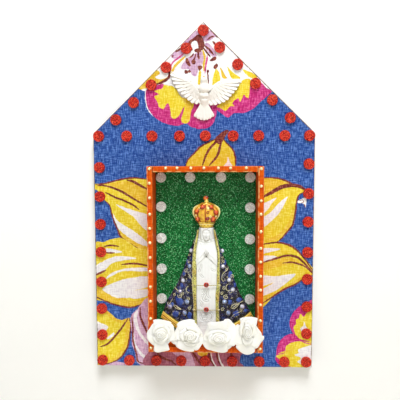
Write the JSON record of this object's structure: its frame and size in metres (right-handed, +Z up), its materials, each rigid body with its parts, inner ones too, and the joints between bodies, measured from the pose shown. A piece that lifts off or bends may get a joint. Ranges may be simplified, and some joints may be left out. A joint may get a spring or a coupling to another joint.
{
  "type": "wall shrine",
  "caption": "House-shaped wooden wall shrine covered in floral cotton, with a box niche holding a small crowned figure, white foam roses at its mouth and a plaster dove on the gable.",
  "frame": {"origin": "on the wall, in the middle notch of the sawtooth hanger, where the wall's nail sits", "axes": "+Z up along the board, +X to the viewer's right along the eaves, +Y into the wall; the front faces -Y"},
  "size_m": [0.2, 0.0463, 0.314],
  "materials": {
    "board_wood": "raw fibreboard with dark laser-cut edges",
    "printed_cotton": "woven cotton with a floral print, glued flat",
    "orange_paint": "satin orange paint",
    "green_glitter": "glitter foam",
    "silver_glitter": "glitter foam",
    "white_plaster": "white painted plaster",
    "navy_filigree": "navy cloth with gold filigree",
    "hem_gold": "gold ribbon",
    "trim_gold": "pale gold braid",
    "crown_gold": "gilt with orange-red stones",
    "ruby_stone": "red acrylic",
    "crystal_stone": "pale blue cut acrylic",
    "white_foam": "soft white foam",
    "beak_gold": "gold paint",
    "steel": "plated steel"
  },
  "bodies": {
    "root": {"base_board": "board_wood", "printed_fabric": "printed_cotton", "niche_wall_left": "orange_paint", "niche_wall_right": "orange_paint", "niche_wall_top": "orange_paint", "niche_floor": "orange_paint", "glitter_panel": "green_glitter", "silver_disc_01": "silver_glitter", "silver_disc_02": "silver_glitter", "silver_disc_03": "silver_glitter", "silver_disc_04": "silver_glitter", "silver_disc_05": "silver_glitter", "silver_disc_06": "silver_glitter", "silver_disc_07": "silver_glitter", "silver_disc_08": "silver_glitter", "silver_disc_09": "silver_glitter", "silver_disc_10": "silver_glitter", "silver_disc_11": "silver_glitter", "silver_disc_12": "silver_glitter", "figure_body": "white_plaster", "crown": "crown_gold", "mantle_left": "navy_filigree", "mantle_right": "navy_filigree", "hem_band_left": "hem_gold", "hem_band_right": "hem_gold", "dress_trim_left": "trim_gold", "dress_trim_right": "trim_gold", "gold_thread_upper": "trim_gold", "gold_thread_lower": "trim_gold", "dress_stone_upper": "ruby_stone", "dress_stone_lower": "ruby_stone", "mantle_stone_01": "crystal_stone", "mantle_stone_02": "crystal_stone", "mantle_stone_03": "crystal_stone", "mantle_stone_04": "crystal_stone", "mantle_stone_05": "crystal_stone", "mantle_stone_06": "crystal_stone", "mantle_stone_07": "crystal_stone", "mantle_stone_08": "crystal_stone", "mantle_stone_09": "crystal_stone", "mantle_stone_10": "crystal_stone", "mantle_stone_11": "crystal_stone", "mantle_stone_12": "crystal_stone", "mantle_stone_13": "crystal_stone", "mantle_stone_14": "crystal_stone", "rose_1": "white_foam", "rose_2": "white_foam", "rose_3": "white_foam", "rose_4": "white_foam", "dove": "white_plaster", "dove_beak": "beak_gold", "sawtooth_hanger": "steel", "hanger_nail_left": "steel", "hanger_nail_right": "steel"}
  },
  "joints": []
}
